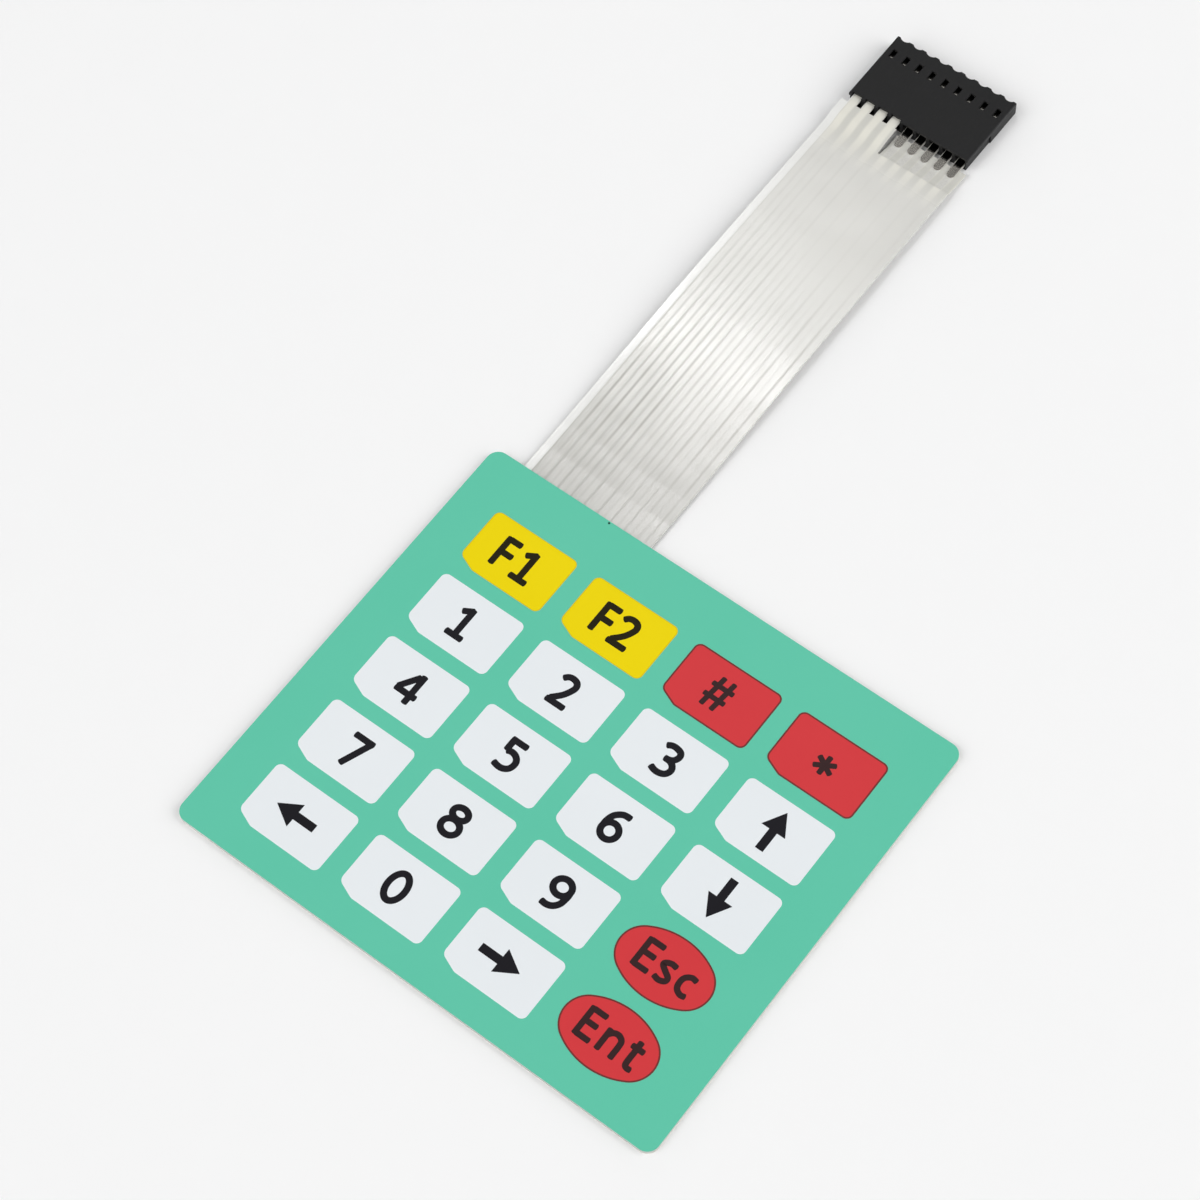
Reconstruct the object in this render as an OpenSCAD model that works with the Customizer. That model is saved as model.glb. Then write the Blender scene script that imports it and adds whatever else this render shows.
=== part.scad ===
// Membrane keypad: a printed panel of twenty keys, a film tail and a nine-way socket connector.
// It lies on its back. X runs to the right, Y towards the tail and Z out of the printed face,
// with the origin in the middle of the panel's back. Lengths are in millimetres.

/* [Panel] */
// Width of the panel
panel_w = 87; // [82:1:120]
// Height of the panel
panel_h = 76; // [72:1:110]
// Radius of the panel's corners
panel_r = 2; // [0.5:0.5:5]

/* [Keys] */
// Spacing of the key columns
col_pitch = 19; // [17:0.5:21]
// Spacing of the key rows
row_pitch = 13; // [11:0.1:13.8]
// Distance of the key field's middle below the panel's middle
field_drop = 1.7; // [0.5:0.1:2.5]
// Width of a printed key
key_w = 15.5; // [12:0.1:17]
// Height of a printed key
key_h = 10.4; // [8:0.1:11]
// Radius of a printed key's corners
key_r = 1; // [0.2:0.1:2]
// Width of the slanting cut at a key's lower left corner
cut_w = 3.1; // [1:0.1:6]
// Height of that cut
cut_h = 1.25; // [0.8:0.05:3]
// Radius of the two blunt corners at that cut's ends
cut_r = 1.2; // [0.4:0.1:1.5]
// Width of an oval key
oval_w = 15.7; // [13:0.1:17]
// Height of an oval key
oval_h = 10.4; // [9:0.1:11]
// Radius of an oval key's ends
oval_end_r = 4.2; // [3:0.1:4.4]

/* [Layers] */
// Thickness of the paper on the rear adhesive
liner_t = 0.12; // [0.05:0.01:0.3]
// Thickness of the rear adhesive
rear_adhesive_t = 0.1; // [0.05:0.01:0.3]
// Thickness of each circuit film
film_t = 0.125; // [0.08:0.005:0.2]
// Depth of the silver tracks, which lie flush in their film
track_t = 0.02; // [0.01:0.005:0.04]
// Thickness of the spacer between the circuit films
spacer_t = 0.2; // [0.1:0.01:0.4]
// Thickness of the adhesive under the overlay
overlay_adhesive_t = 0.08; // [0.03:0.01:0.2]
// Thickness of the overlay film
overlay_t = 0.18; // [0.1:0.01:0.4]
// Thickness of the ink on the overlay
print_t = 0.02; // [0.01:0.005:0.05]

/* [Circuit] */
// Diameter of a key's silver contact pads
pad_d = 7; // [4:0.5:8]
// Diameter of the spacer's hole under a key
hole_d = 9; // [8:0.5:10.5]
// Width of the air channels between the holes
vent_w = 1; // [0.5:0.1:2]
// Width of a track inside the panel
track_w = 0.8; // [0.4:0.1:1]
// Spacing of tracks that run side by side
track_pitch = 1.3; // [1.1:0.1:1.8]
// Distance of the outermost track from the panel's edge
track_inset = 1.2; // [0.8:0.1:2]

/* [Tail] */
// Middle of the tail, from the panel's middle
tail_x = -25.8; // [-28:0.1:26]
// Length of the tail between the panel and the connector
tail_l = 85; // [50:0.5:150]
// Height of the gentle arch in the tail
tail_bow = 0.6; // [0:0.1:4]
// Width of a silver band in the tail
band_w = 1.2; // [0.8:0.1:2.1]
// Clear film outside the outermost bands
tail_margin = 1.4; // [0.5:0.1:2]
// Width of the tail's left edge that the spacer leaves clear
clear_edge = 1.3; // [0:0.1:2]
// Length over which the two films part before the connector
part_l = 3; // [2.5:0.5:15]
// Gap between the two films where they lie side by side
part_gap = 0.25; // [0.1:0.05:0.4]
// Straight length of the films behind the connector
straight_l = 3.4; // [3.2:0.1:5]
// Length of the slits between the film tongues behind the connector
slit_l = 1.2; // [0.4:0.1:2.5]

/* [Connector] */
// Spacing of the ways
pitch = 2.54; // [2.5:0.01:2.6]
// Length of the housing
housing_l = 13.8; // [13:0.1:18]
// Height of the housing
housing_h = 2.8; // [2.6:0.1:4]
// Radius of the housing's long edges
housing_r = 0.2; // [0.1:0.05:0.4]
// Thickness of the housing's floor and roof
wall_t = 0.4; // [0.3:0.05:0.5]
// Thickness of the housing's end walls
end_wall_t = 0.5; // [0.4:0.05:1]
// Width of a contact's cavity
cavity_w = 1.9; // [1.7:0.05:2]
// Thickness of the nose that the pins enter
nose_t = 2; // [1.6:0.1:3]
// Side of a pin's square hole
pin_hole = 0.9; // [0.8:0.05:1.1]
// Depth of the hole's funnel
funnel_l = 0.7; // [0.3:0.1:1]
// Radius of the round scoop at each way's mouth
scoop_r = 1.2; // [1:0.05:1.25]
// Depth of that scoop
scoop_depth = 0.4; // [0.3:0.05:0.9]
// Width of a latch window
window_w = 0.9; // [0.7:0.05:1.2]
// Length of a latch window
window_l = 1.7; // [1.2:0.1:2.5]
// Distance from the mouth to the latch windows
window_inset = 2.6; // [2.3:0.1:4]
// Depth of the notches in the roof over the upper film's tongues
notch_l = 0.5; // [0.3:0.1:2]
// Length of the step in the housing's sides
step_l = 6.6; // [3:0.1:9]
// Height of that step
step_h = 2.1; // [1:0.1:2.3]
// Depth of that step
step_depth = 0.25; // [0.1:0.05:0.3]

/* [Contacts] */
// Thickness of the contacts' metal
sheet_t = 0.2; // [0.15:0.01:0.25]
// Clearance beside a contact and a film tongue
side_gap = 0.12; // [0.05:0.01:0.2]
// Clearance of a crimp's folded tines from the housing
tine_gap = 0.075; // [0.03:0.005:0.15]
// Length of a contact's socket
socket_l = 7; // [5.5:0.1:7.5]
// Width of a contact's crimp plate
plate_w = 1.3; // [1.1:0.05:1.5]
// Length of the crimp plate behind the housing
plate_out = 3.2; // [0.8:0.1:3.2]
// Length of the film tongues inside the housing
tongue_l = 3.4; // [3:0.1:4]
// Length of a tine along the film
tine_l = 0.6; // [0.4:0.05:0.8]
// Distance of the tines from the middle of their way
tine_x = 0.45; // [0.4:0.01:0.5]
// Length of a tine's folded end
tine_fold = 0.3; // [0.2:0.05:0.3]
// Width of the pins that the sockets take
pin_w = 0.64; // [0.5:0.01:0.7]

/* [Hidden] */
$fn = 96;

// Counts that the printed layout fixes
columns = 4;
rows = 5;
ways = columns + rows;

// Overshoot of a cutting shape past the face that it opens
over = 0.05;
// Length by which one run of a piece reaches into the next
lap = 0.2;
// Longest straight step along the curved tail
tail_step = 5;

// Heights of the layers' undersides
rear_adhesive_z = liner_t;
bottom_film_z = rear_adhesive_z + rear_adhesive_t;
spacer_z = bottom_film_z + film_t;
top_film_z = spacer_z + spacer_t;
overlay_adhesive_z = top_film_z + film_t;
overlay_z = overlay_adhesive_z + overlay_adhesive_t;
print_z = overlay_z + overlay_t;

// Distances along the tail: where the films part, and where they lie straight again
straight_y = tail_l - straight_l;
part_y = straight_y - part_l;
tongue_end_y = tail_l + tongue_l;
tail_w = (ways - 1) * pitch + band_w + 2 * tail_margin;
part_x = (columns - ways / 2) * pitch;

// Connector sizes that follow from its walls and clearances
housing_w = (ways - 1) * pitch + cavity_w + 2 * end_wall_t;
cavity_h = housing_h - 2 * wall_t;
cavity_l = housing_l - nose_t;
pin_z = housing_h / 2;
window_y = housing_l - window_inset - window_l;
tongue_w = cavity_w - 2 * side_gap;
tongue_band_w = tongue_w - 2 * side_gap;
socket_h = cavity_h - sheet_t - film_t - tine_gap;
socket_y = cavity_l - socket_l;
upper_tongue_z = wall_t + socket_h;
lower_tongue_z = wall_t + tine_gap + sheet_t;

// Rise of the tail's middle from the panel to the connector
tail_rise = pin_z - spacer_z - spacer_t / 2;

function key_x(c) = (c - (columns - 1) / 2) * col_pitch;
function key_y(r) = ((rows - 1) / 2 - r) * row_pitch - field_drop;
function way_x(i) = (i - (ways + 1) / 2) * pitch;

// The two lowest keys of the last column are ovals, and they and the top row are coloured
function is_oval(r, c) = c == columns - 1 && r >= rows - 2;
function key_colour(r, c) =
    is_oval(r, c) || (r == 0 && c >= 2) ? "red" :
    r == 0 ? "yellow" : "white";

function unit(v) = v / norm(v);

// Smooth step from 0 to 1, level at both ends
function ease(t) = let (u = min(1, max(0, t))) u * u * (3 - 2 * u);
// Height that the tail gains at a distance y from the panel
function tail_lift(y) =
    let (t = min(1, max(0, y / straight_y)))
    tail_rise * ease(t) + tail_bow * pow(sin(180 * t), 2);
// Height of a film's underside: the upper and the lower film part on the way to their tongues
function film_z(upper, y) =
    let (start = upper ? top_film_z : bottom_film_z)
    let (end = upper ? upper_tongue_z : lower_tongue_z)
    start + tail_lift(y) + (end - start - tail_rise) * ease((y - part_y) / part_l);
// Even steps from a to b, without a itself
function steps(a, b) =
    let (n = max(8, ceil((b - a) / tail_step)))
    [for (i = [1 : n]) a + (b - a) * i / n];

// Stations along the tail: where it has its full width, and on to the slits in the films' straight ends
wide_ys = concat([-lap, 0], steps(0, part_y));
narrow_ys = concat(wide_ys, steps(part_y, straight_y), [tail_l - slit_l]);

module rounded_rect(w, h, r) {
    square([w - 2 * r, h], center = true);
    square([w, h - 2 * r], center = true);
    for (x = [-1, 1], y = [-1, 1])
        translate([x * (w / 2 - r), y * (h / 2 - r)])
            circle(r);
}

module panel_outline() {
    rounded_rect(panel_w, panel_h, panel_r);
}

// A flat layer of the panel, cut to the outline of its children
module sheet(z, t) {
    translate([0, 0, z])
        linear_extrude(t)
            children();
}

// Convex polygon whose points run anticlockwise, with a radius at each corner
module rounded_polygon(points, radii) {
    n = len(points);
    ahead = [for (i = [0 : n - 1]) unit(points[(i + 1) % n] - points[i])];
    back = [for (i = [0 : n - 1]) -ahead[(i + n - 1) % n]];
    half = [for (i = [0 : n - 1]) acos(back[i] * ahead[i]) / 2];
    polygon([
        for (i = [0 : n - 1], way = [back[i], ahead[i]])
            points[i] + way * radii[i] / tan(half[i])
    ]);
    for (i = [0 : n - 1])
        translate(points[i] + unit(back[i] + ahead[i]) * radii[i] / sin(half[i]))
            circle(radii[i]);
}

// A key's outline, with a slanting cut at its lower left
module key_shape() {
    x = key_w / 2;
    y = key_h / 2;
    rounded_polygon(
        [[cut_w - x, -y], [x, -y], [x, y], [-x, y], [-x, cut_h - y]],
        [cut_r, key_r, key_r, key_r, cut_r]
    );
}

// Oval of two end arcs and two flank arcs that meet without a corner
module oval_shape() {
    end_x = oval_w / 2 - oval_end_r;
    rise = oval_h / 2 - oval_end_r;
    flank_y = (end_x * end_x - rise * rise) / (2 * rise);
    flank_r = flank_y + oval_h / 2;
    meet_x = end_x * flank_r / (flank_r - oval_end_r);
    intersection() {
        translate([0, -flank_y])
            circle(flank_r);
        translate([0, flank_y])
            circle(flank_r);
        square([2 * meet_x, oval_h], center = true);
    }
    for (side = [-1, 1])
        translate([side * end_x, 0])
            circle(oval_end_r);
}

module keys(colour) {
    for (r = [0 : rows - 1], c = [0 : columns - 1])
        if (key_colour(r, c) == colour)
            translate([key_x(c), key_y(r)])
                if (is_oval(r, c)) oval_shape();
                else key_shape();
}

// A straight run of track between two points that share a line along X or Y
module run(p, q) {
    low = [min(p.x, q.x) - track_w / 2, min(p.y, q.y) - track_w / 2];
    high = [max(p.x, q.x) + track_w / 2, max(p.y, q.y) + track_w / 2];
    translate(low)
        square(high - low);
}

// Top of a track's run up to the tail, flush with the panel's edge
function tail_end(x) = [x, panel_h / 2 - track_w / 2];

// Column tracks climb through their pads and turn along the top edge to their way. Tracks that
// turn left stack one way round and tracks that turn right the other, so that none cross.
module column_lines(c) {
    way = tail_x + way_x(c);
    x = key_x(c - 1);
    lane = x > way ? columns - c : c - 1;
    bus_y = panel_h / 2 - track_inset - lane * track_pitch;
    for (r = [0 : rows - 1])
        translate([x, key_y(r)])
            circle(d = pad_d);
    run([x, key_y(rows - 1)], [x, bus_y]);
    run([x, bus_y], [way, bus_y]);
    run([way, bus_y], tail_end(way));
}

// Row tracks leave their pads to the left, climb the edge and turn along the top to their way
module row_lines(r) {
    bus_y = panel_h / 2 - track_inset - (rows - r) * track_pitch;
    side_x = -panel_w / 2 + track_inset + (rows - r) * track_pitch;
    way = tail_x + way_x(ways + 1 - r);
    y = key_y(r - 1);
    for (c = [0 : columns - 1])
        translate([key_x(c), y])
            circle(d = pad_d);
    run([key_x(columns - 1), y], [side_x, y]);
    run([side_x, y], [side_x, bus_y]);
    run([side_x, bus_y], [way, bus_y]);
    run([way, bus_y], tail_end(way));
}

module at_tail() {
    translate([tail_x, panel_h / 2, 0])
        children();
}

module at_connector() {
    translate([tail_x, panel_h / 2 + tail_l, 0])
        children();
}

// A strip across X whose section runs along Y and Z
module strip(points, x0, x1) {
    translate([x0, 0, 0])
        rotate([90, 0, 90])
            linear_extrude(x1 - x0)
                polygon(points);
}

// Strip of the tail along the stations ys, between two heights above a film's underside
module ribbon(upper, ys, x0, x1, low, high) {
    under = [for (y = ys) [y, film_z(upper, y) + low]];
    above = [for (i = [len(ys) - 1 : -1 : 0]) [ys[i], film_z(upper, ys[i]) + high]];
    strip(concat(under, above), x0, x1);
}

// One way's silver band, from the panel to the end of its tongue
module band(upper, x, low, high) {
    ribbon(upper, narrow_ys, x - band_w / 2, x + band_w / 2, low, high);
    strip(
        [
            [straight_y, film_z(upper, tail_l) + low],
            [tongue_end_y - side_gap, film_z(upper, tail_l) + low],
            [tongue_end_y - side_gap, film_z(upper, tail_l) + high],
            [straight_y, film_z(upper, tail_l) + high]
        ],
        x - tongue_band_w / 2, x + tongue_band_w / 2
    );
}

// A circuit film's tail: full width, then its own half, then a tongue for each way
module film_tail(upper) {
    own = upper ? [1 : columns] : [columns + 1 : ways];
    half_x0 = upper ? -tail_w / 2 : part_x + part_gap / 2;
    half_x1 = upper ? part_x - part_gap / 2 : tail_w / 2;
    ribbon(upper, wide_ys, -tail_w / 2, tail_w / 2, 0, film_t);
    ribbon(upper, narrow_ys, half_x0, half_x1, 0, film_t);
    for (i = own)
        translate([way_x(i) - tongue_w / 2, straight_y, film_z(upper, tail_l)])
            cube([tongue_w, tongue_end_y - straight_y, film_t]);
}

// The four places where a way's tines go through its film, mirrored about the way's middle
module tine_spots() {
    for (side = [0, 1], y = [tongue_l / 3, 2 * tongue_l / 3])
        mirror([side, 0, 0])
            translate([tine_x, y, 0])
                children();
}

// The upright parts of a way's tines, between two heights
module tine_posts(low, high) {
    tine_spots()
        translate([-sheet_t / 2, -tine_l / 2, low])
            cube([sheet_t, tine_l, high - low]);
}

// Slots that the tines pierce in one film and its tracks
module pierced(upper) {
    own = upper ? [1 : columns] : [columns + 1 : ways];
    z = film_z(upper, tail_l);
    at_connector()
        for (i = own)
            translate([way_x(i), 0, 0])
                tine_posts(z - over, z + film_t + over);
}

// Silver of one column, in the underside of the top film
module column_silver(c, extra) {
    sheet(top_film_z - extra, track_t + extra)
        column_lines(c);
    at_tail()
        band(true, way_x(c), -extra, track_t);
}

// Silver of one row, in the upper side of the bottom film
module row_silver(r, extra) {
    sheet(spacer_z - track_t, track_t + extra)
        row_lines(r);
    at_tail()
        band(false, way_x(ways + 1 - r), film_t - track_t, film_t + extra);
}

module release_liner() {
    color("AntiqueWhite")
        sheet(0, liner_t)
            panel_outline();
}

module rear_adhesive() {
    color("Gainsboro")
        sheet(rear_adhesive_z, rear_adhesive_t)
            panel_outline();
}

module bottom_film() {
    color("LightGray")
        difference() {
            union() {
                sheet(bottom_film_z, film_t)
                    panel_outline();
                at_tail()
                    film_tail(false);
            }
            for (r = [1 : rows])
                row_silver(r, over);
            pierced(false);
        }
}

// The spacer holds the films apart, with a hole under each key and channels for its air
module spacer() {
    color("WhiteSmoke") {
        sheet(spacer_z, spacer_t)
            difference() {
                panel_outline();
                for (c = [0 : columns - 1]) {
                    for (r = [0 : rows - 1])
                        translate([key_x(c), key_y(r)])
                            circle(d = hole_d);
                    translate([key_x(c), -field_drop])
                        square([vent_w, (rows - 1) * row_pitch], center = true);
                }
                translate([0, -field_drop])
                    square([(columns - 1) * col_pitch, vent_w], center = true);
            }
        at_tail()
            ribbon(
                false, wide_ys, clear_edge - tail_w / 2, tail_w / 2, film_t, film_t + spacer_t
            );
    }
}

module top_film() {
    color("Gainsboro")
        difference() {
            union() {
                sheet(top_film_z, film_t)
                    panel_outline();
                at_tail()
                    film_tail(true);
            }
            for (c = [1 : columns])
                column_silver(c, over);
            pierced(true);
        }
}

module column_track(c) {
    color("Silver")
        difference() {
            column_silver(c, 0);
            pierced(true);
        }
}

module row_track(r) {
    color("Silver")
        difference() {
            row_silver(r, 0);
            pierced(false);
        }
}

module overlay_adhesive() {
    color("Gainsboro")
        sheet(overlay_adhesive_z, overlay_adhesive_t)
            panel_outline();
}

module overlay_film() {
    color("MistyRose")
        sheet(overlay_z, overlay_t)
            panel_outline();
}

module background_print() {
    color("MediumAquamarine")
        sheet(print_z, print_t)
            difference() {
                panel_outline();
                for (colour = ["white", "yellow", "red"])
                    keys(colour);
            }
}

module white_key_print() {
    color("WhiteSmoke")
        sheet(print_z, print_t)
            keys("white");
}

module yellow_key_print() {
    color("Gold")
        sheet(print_z, print_t)
            keys("yellow");
}

module red_key_print() {
    color("Crimson")
        sheet(print_z, print_t)
            keys("red");
}

// Everything that is cut from the housing for one way
module way_cuts(i) {
    translate([-cavity_w / 2, -over, wall_t])
        cube([cavity_w, cavity_l + over, cavity_h]);
    translate([-pin_hole / 2, cavity_l - over, pin_z - pin_hole / 2])
        cube([pin_hole, nose_t + 2 * over, pin_hole]);
    translate([0, housing_l - scoop_depth - funnel_l, pin_z])
        rotate([-90, 0, 0])
            cylinder(h = funnel_l, r1 = pin_hole / 2, r2 = cavity_w / 2);
    translate([0, housing_l - scoop_depth + scoop_r, -over])
        cylinder(h = housing_h + 2 * over, r = scoop_r);
    translate([-window_w / 2, window_y, housing_h - wall_t - over])
        cube([window_w, window_l, wall_t + 2 * over]);
    if (i <= columns)
        translate([-cavity_w / 2, -over, housing_h - wall_t - over])
            cube([cavity_w, notch_l + over, wall_t + 2 * over]);
}

module connector_housing() {
    color("DimGray")
        at_connector()
            difference() {
                translate([0, housing_l, housing_h / 2])
                    rotate([90, 0, 0])
                        linear_extrude(housing_l)
                            rounded_rect(housing_w, housing_h, housing_r);
                for (i = [1 : ways])
                    translate([way_x(i), 0, 0])
                        way_cuts(i);
                for (side = [-1, 1])
                    translate([side * housing_w / 2, (step_l - over) / 2, (step_h - over) / 2])
                        cube([2 * step_depth, step_l + over, step_h + over], center = true);
            }
}

// Square tube that takes a pin, with the leaf that presses on it
module socket() {
    socket_w = cavity_w - 2 * side_gap;
    leaf_w = socket_w / 2;
    floor_z = wall_t + sheet_t;
    difference() {
        translate([-socket_w / 2, socket_y, wall_t])
            cube([socket_w, socket_l, socket_h]);
        translate([-socket_w / 2 + sheet_t, socket_y - over, floor_z])
            cube([socket_w - 2 * sheet_t, socket_l + 2 * over, socket_h - 2 * sheet_t]);
    }
    strip(
        [
            [socket_y, floor_z],
            [socket_y + socket_l / 4, floor_z],
            [socket_y + 2 * socket_l / 3, pin_z - pin_w / 2 - sheet_t],
            [socket_y + socket_l, floor_z + sheet_t],
            [socket_y + socket_l, floor_z + 2 * sheet_t],
            [socket_y + 2 * socket_l / 3, pin_z - pin_w / 2],
            [socket_y, floor_z + sheet_t]
        ],
        -leaf_w / 2, leaf_w / 2
    );
}

// Springy tang that rises into the latch window and catches on its rear edge
module latch() {
    tang_w = window_w - 2 * side_gap;
    top_z = wall_t + socket_h;
    catch_y = window_y + side_gap;
    root_y = window_y + window_l - side_gap;
    strip(
        [
            [root_y, top_z - sheet_t],
            [root_y, top_z],
            [catch_y, housing_h - side_gap],
            [catch_y, housing_h - side_gap - sheet_t],
            [root_y - 2 * sheet_t, top_z - sheet_t]
        ],
        -tang_w / 2, tang_w / 2
    );
}

// Crimp contact: socket, latch, and a plate whose tines go through the film and fold over it.
// The upper film lies on its plates, and the plates of the lower film lie on the film.
module contact(i) {
    upper = i <= columns;
    film_low = film_z(upper, tail_l);
    film_high = film_low + film_t;
    plate_z = upper ? film_low - sheet_t : film_high;
    wall_z = upper ? wall_t + socket_h - sheet_t : wall_t;
    fold_z = upper ? film_high : film_low - sheet_t;
    plate_end = tongue_l + side_gap;
    round_y = plate_w / 2 - plate_out;
    color("LightSteelBlue")
        at_connector()
            translate([way_x(i), 0, 0]) {
                socket();
                latch();
                sheet(plate_z, sheet_t) {
                    translate([0, round_y])
                        circle(d = plate_w);
                    translate([-plate_w / 2, round_y])
                        square([plate_w, plate_end - round_y]);
                }
                strip(
                    [
                        [plate_end, plate_z],
                        [socket_y, wall_z],
                        [socket_y, wall_z + sheet_t],
                        [plate_end, plate_z + sheet_t]
                    ],
                    -plate_w / 2, plate_w / 2
                );
                tine_posts(min(plate_z, fold_z), max(plate_z, fold_z) + sheet_t);
                tine_spots()
                    translate([-tine_fold, -tine_l / 2, fold_z])
                        cube([tine_fold, tine_l, sheet_t]);
            }
}

release_liner();
rear_adhesive();
bottom_film();
spacer();
top_film();
overlay_adhesive();
overlay_film();
background_print();
white_key_print();
yellow_key_print();
red_key_print();
for (c = [1 : columns])
    column_track(c);
for (r = [1 : rows])
    row_track(r);
connector_housing();
for (i = [1 : ways])
    contact(i);
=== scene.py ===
"""Looks of a membrane keypad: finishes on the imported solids, printed legends, floor, light and camera."""

import bpy
import numpy as np
from mathutils import Matrix, Vector


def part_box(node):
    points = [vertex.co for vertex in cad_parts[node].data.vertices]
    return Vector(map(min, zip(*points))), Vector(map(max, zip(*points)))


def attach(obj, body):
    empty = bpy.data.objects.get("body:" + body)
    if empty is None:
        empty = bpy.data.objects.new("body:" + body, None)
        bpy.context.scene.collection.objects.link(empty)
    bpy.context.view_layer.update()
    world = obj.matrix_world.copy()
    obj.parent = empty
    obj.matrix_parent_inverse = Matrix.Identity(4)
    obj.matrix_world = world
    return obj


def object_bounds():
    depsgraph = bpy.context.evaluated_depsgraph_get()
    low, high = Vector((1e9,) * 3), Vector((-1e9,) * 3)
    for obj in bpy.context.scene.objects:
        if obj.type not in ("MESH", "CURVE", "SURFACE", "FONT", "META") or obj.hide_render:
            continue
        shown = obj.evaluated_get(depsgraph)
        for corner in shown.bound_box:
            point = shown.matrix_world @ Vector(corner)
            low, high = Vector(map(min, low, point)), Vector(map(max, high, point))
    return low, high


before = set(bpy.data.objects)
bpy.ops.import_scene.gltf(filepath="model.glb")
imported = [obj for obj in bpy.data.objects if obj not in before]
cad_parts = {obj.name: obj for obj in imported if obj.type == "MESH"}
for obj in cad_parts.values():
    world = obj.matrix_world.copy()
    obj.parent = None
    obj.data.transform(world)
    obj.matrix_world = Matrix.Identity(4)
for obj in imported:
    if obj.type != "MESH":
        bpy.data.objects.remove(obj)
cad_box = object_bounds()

MM = 0.001

# Print, in millimetres

INK_H = 0.012          # height of the black ink on the coloured fields
INK_SINK = 0.004       # how far ink reaches into the field below it
INK_STEP = 0.0015      # each stroke of one sign stands this much over the one before
STROKE = 1.05          # width of a digit's stroke
LETTER_STROKE = 0.93   # and of a letter's
HASH_STROKE = 0.84
STAR_STROKE = 0.85
ARROW_L = 7.05
ARROW_HEAD_L = 3.5
ARROW_HEAD_W = 4.2
ARROW_SHAFT_W = 1.37
ARROW_TIP_W = 0.05     # the tip is a narrow flat
TRAP_H = 0.006         # height of the rim where a key's ink overlaps the green
RED_TRAP_W = 0.26
YELLOW_TRAP_W = 0.14
SPECK_W = 0.34         # a speck of dirt by the panel's upper edge
SPECK_ENDS = ((-21.42, 37.55), (-21.18, 37.8))

# Keys, with sizes in millimetres

WHITE_COLUMNS = 4      # columns and rows that the white keys take up
WHITE_ROWS = 4
YELLOW_COLUMNS = 2
KEY_R = 1.0            # at the three whole corners of a key
CUT_W = 3.1            # the cut at a key's lower left corner
CUT_H = 1.25
CUT_R = 1.2
OVAL_END_R = 4.2

# Steps and ends of the strokes

CAP_SHARE = 0.22       # length of a stroke's rounded end, as a share of its width
CAP_STEPS = 7
CAP_START = 10.0       # degrees round the end at which the stroke begins, a narrow flat
CURVE_STEPS = 8
RING_STEPS = 64
ARC_STEPS = 10

# Film of the tail, with sizes in millimetres

WAYS = 9               # conductors, counted from the left
TOP_WAYS = 4           # those on the upper film
HALF_WAY = 0.5         # half the step from one conductor to the next
RIDGE_HALF = 0.35      # half width of the flat top where the film stands over a conductor
RIDGE_FOOT = 0.95      # half width at its foot
RIDGE_H = 0.018
LINE_ASIDE = 0.6       # painted shade line to the right of each conductor's middle, where the glare breaks
LINE_W = 0.4           # distance to either side at which the line has faded out
LINE_FAINT = 0.38      # strength of the line at the lower film's conductors
LINE_AT_ROOT = 0.35    # share of its strength that a line has by the panel
LINE_AT_END = 0.12     # and by the connector
MARGIN_FROM = 0.75     # the bare left margin ends between these distances left of the first conductor
MARGIN_TO = 0.65
ROOT_PAINTED_SHADE = (2.0, 18.0)     # distances from the panel over which the film's painted shade, where it bends up, gives way to its tone
LINE_RISE = (4.0, 19.0)      # distances from the panel between which the painted shade lines come up
LINE_FADE = (55.0, 28.0)     # distances from the connector between which they fade
COAT_EDGE = (11.0, 5.0)      # and between which the matt coat of the film's end begins
LEFT_PAINTED_LIGHT = 0.45      # how far the painted light puts the film's tone ahead along its left side
HAZE_SHARE = 0.2       # how far the haze moves the film's tone

# Patterns of the finishes, in millimetres

INK_CLOUD = 22.0       # uneven coat over the ink
INK_GRAIN = 0.5        # grain of the screen's mesh
FINE_RELIEF = 0.02     # depth of the grain of ink, silver, tin and paper
FILM_HAZE = 3.0
FILM_WAVE = 18.0       # waviness of the panel's films
FILM_WAVE_DEPTH = 0.08
TAIL_WAVE = 14.0       # and of the tail's
TAIL_WAVE_DEPTH = 0.1
SILVER_FLAKE = 0.3
NYLON_FIBRE = 0.4
NYLON_FLOW = 6.0       # streaks of flow in the mould
NYLON_RELIEF = 0.04
FIBRE_STRETCH = (1.0, 0.35, 1.0)     # fibres and streaks are drawn out along the tail
STREAK_STRETCH = (1.0, 0.08, 1.0)
TIN_STREAK = 0.35
PAPER_FIBRE = 1.2
FLOOR_TOOTH = 8.0

# Gloss of the finishes

INK_ROUGHNESS = 0.42
DIRT_ROUGHNESS = 0.6
INK_UNEVEN = 0.06      # roughness to either side of its middle
FILM_UNEVEN = 0.04
INK_GLOSS = 0.12       # the matting agent in the ink breaks up most of its gloss
TAIL_ROUGHNESS = (0.13, 0.21)
TAIL_GLOSS = 0.5
COAT_ROUGHNESS = 0.35  # added by the matt coat at the tail's end
COAT_GLOSS = 0.1
SILVER_ROUGHNESS = (0.38, 0.52)
NYLON_ROUGHNESS = (0.42, 0.6)
NYLON_GLOSS = 0.35     # the fibres at the skin dull the moulding
TIN_ROUGHNESS = (0.1, 0.2)
PAPER_ROUGHNESS = (0.4, 0.6)

# Sockets of the Mix node that share their names, by number

MIX_SHARE = 0
MIX_FROM = 6
MIX_TO = 7
MIX_OUT = 2

# Camera, in millimetres and degrees, fitted to the keys, the panel's edges and the tail

TARGET_MM = (-14.45, 26.44, 0.95)
DISTANCE_MM = 483.54
AZIMUTH = 42.2
ELEVATION = 62.5
ROLL = 5.43
LENS = 96.85
SENSOR = 36.0

# Light

WALL_LIGHT = 0.95      # the room's brightness near the horizon
CEILING_LIGHT = 0.1    # and overhead
WALL_TOP = 0.25        # height of the view direction at which the walls begin to darken
CEILING_EDGE = 0.6

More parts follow.
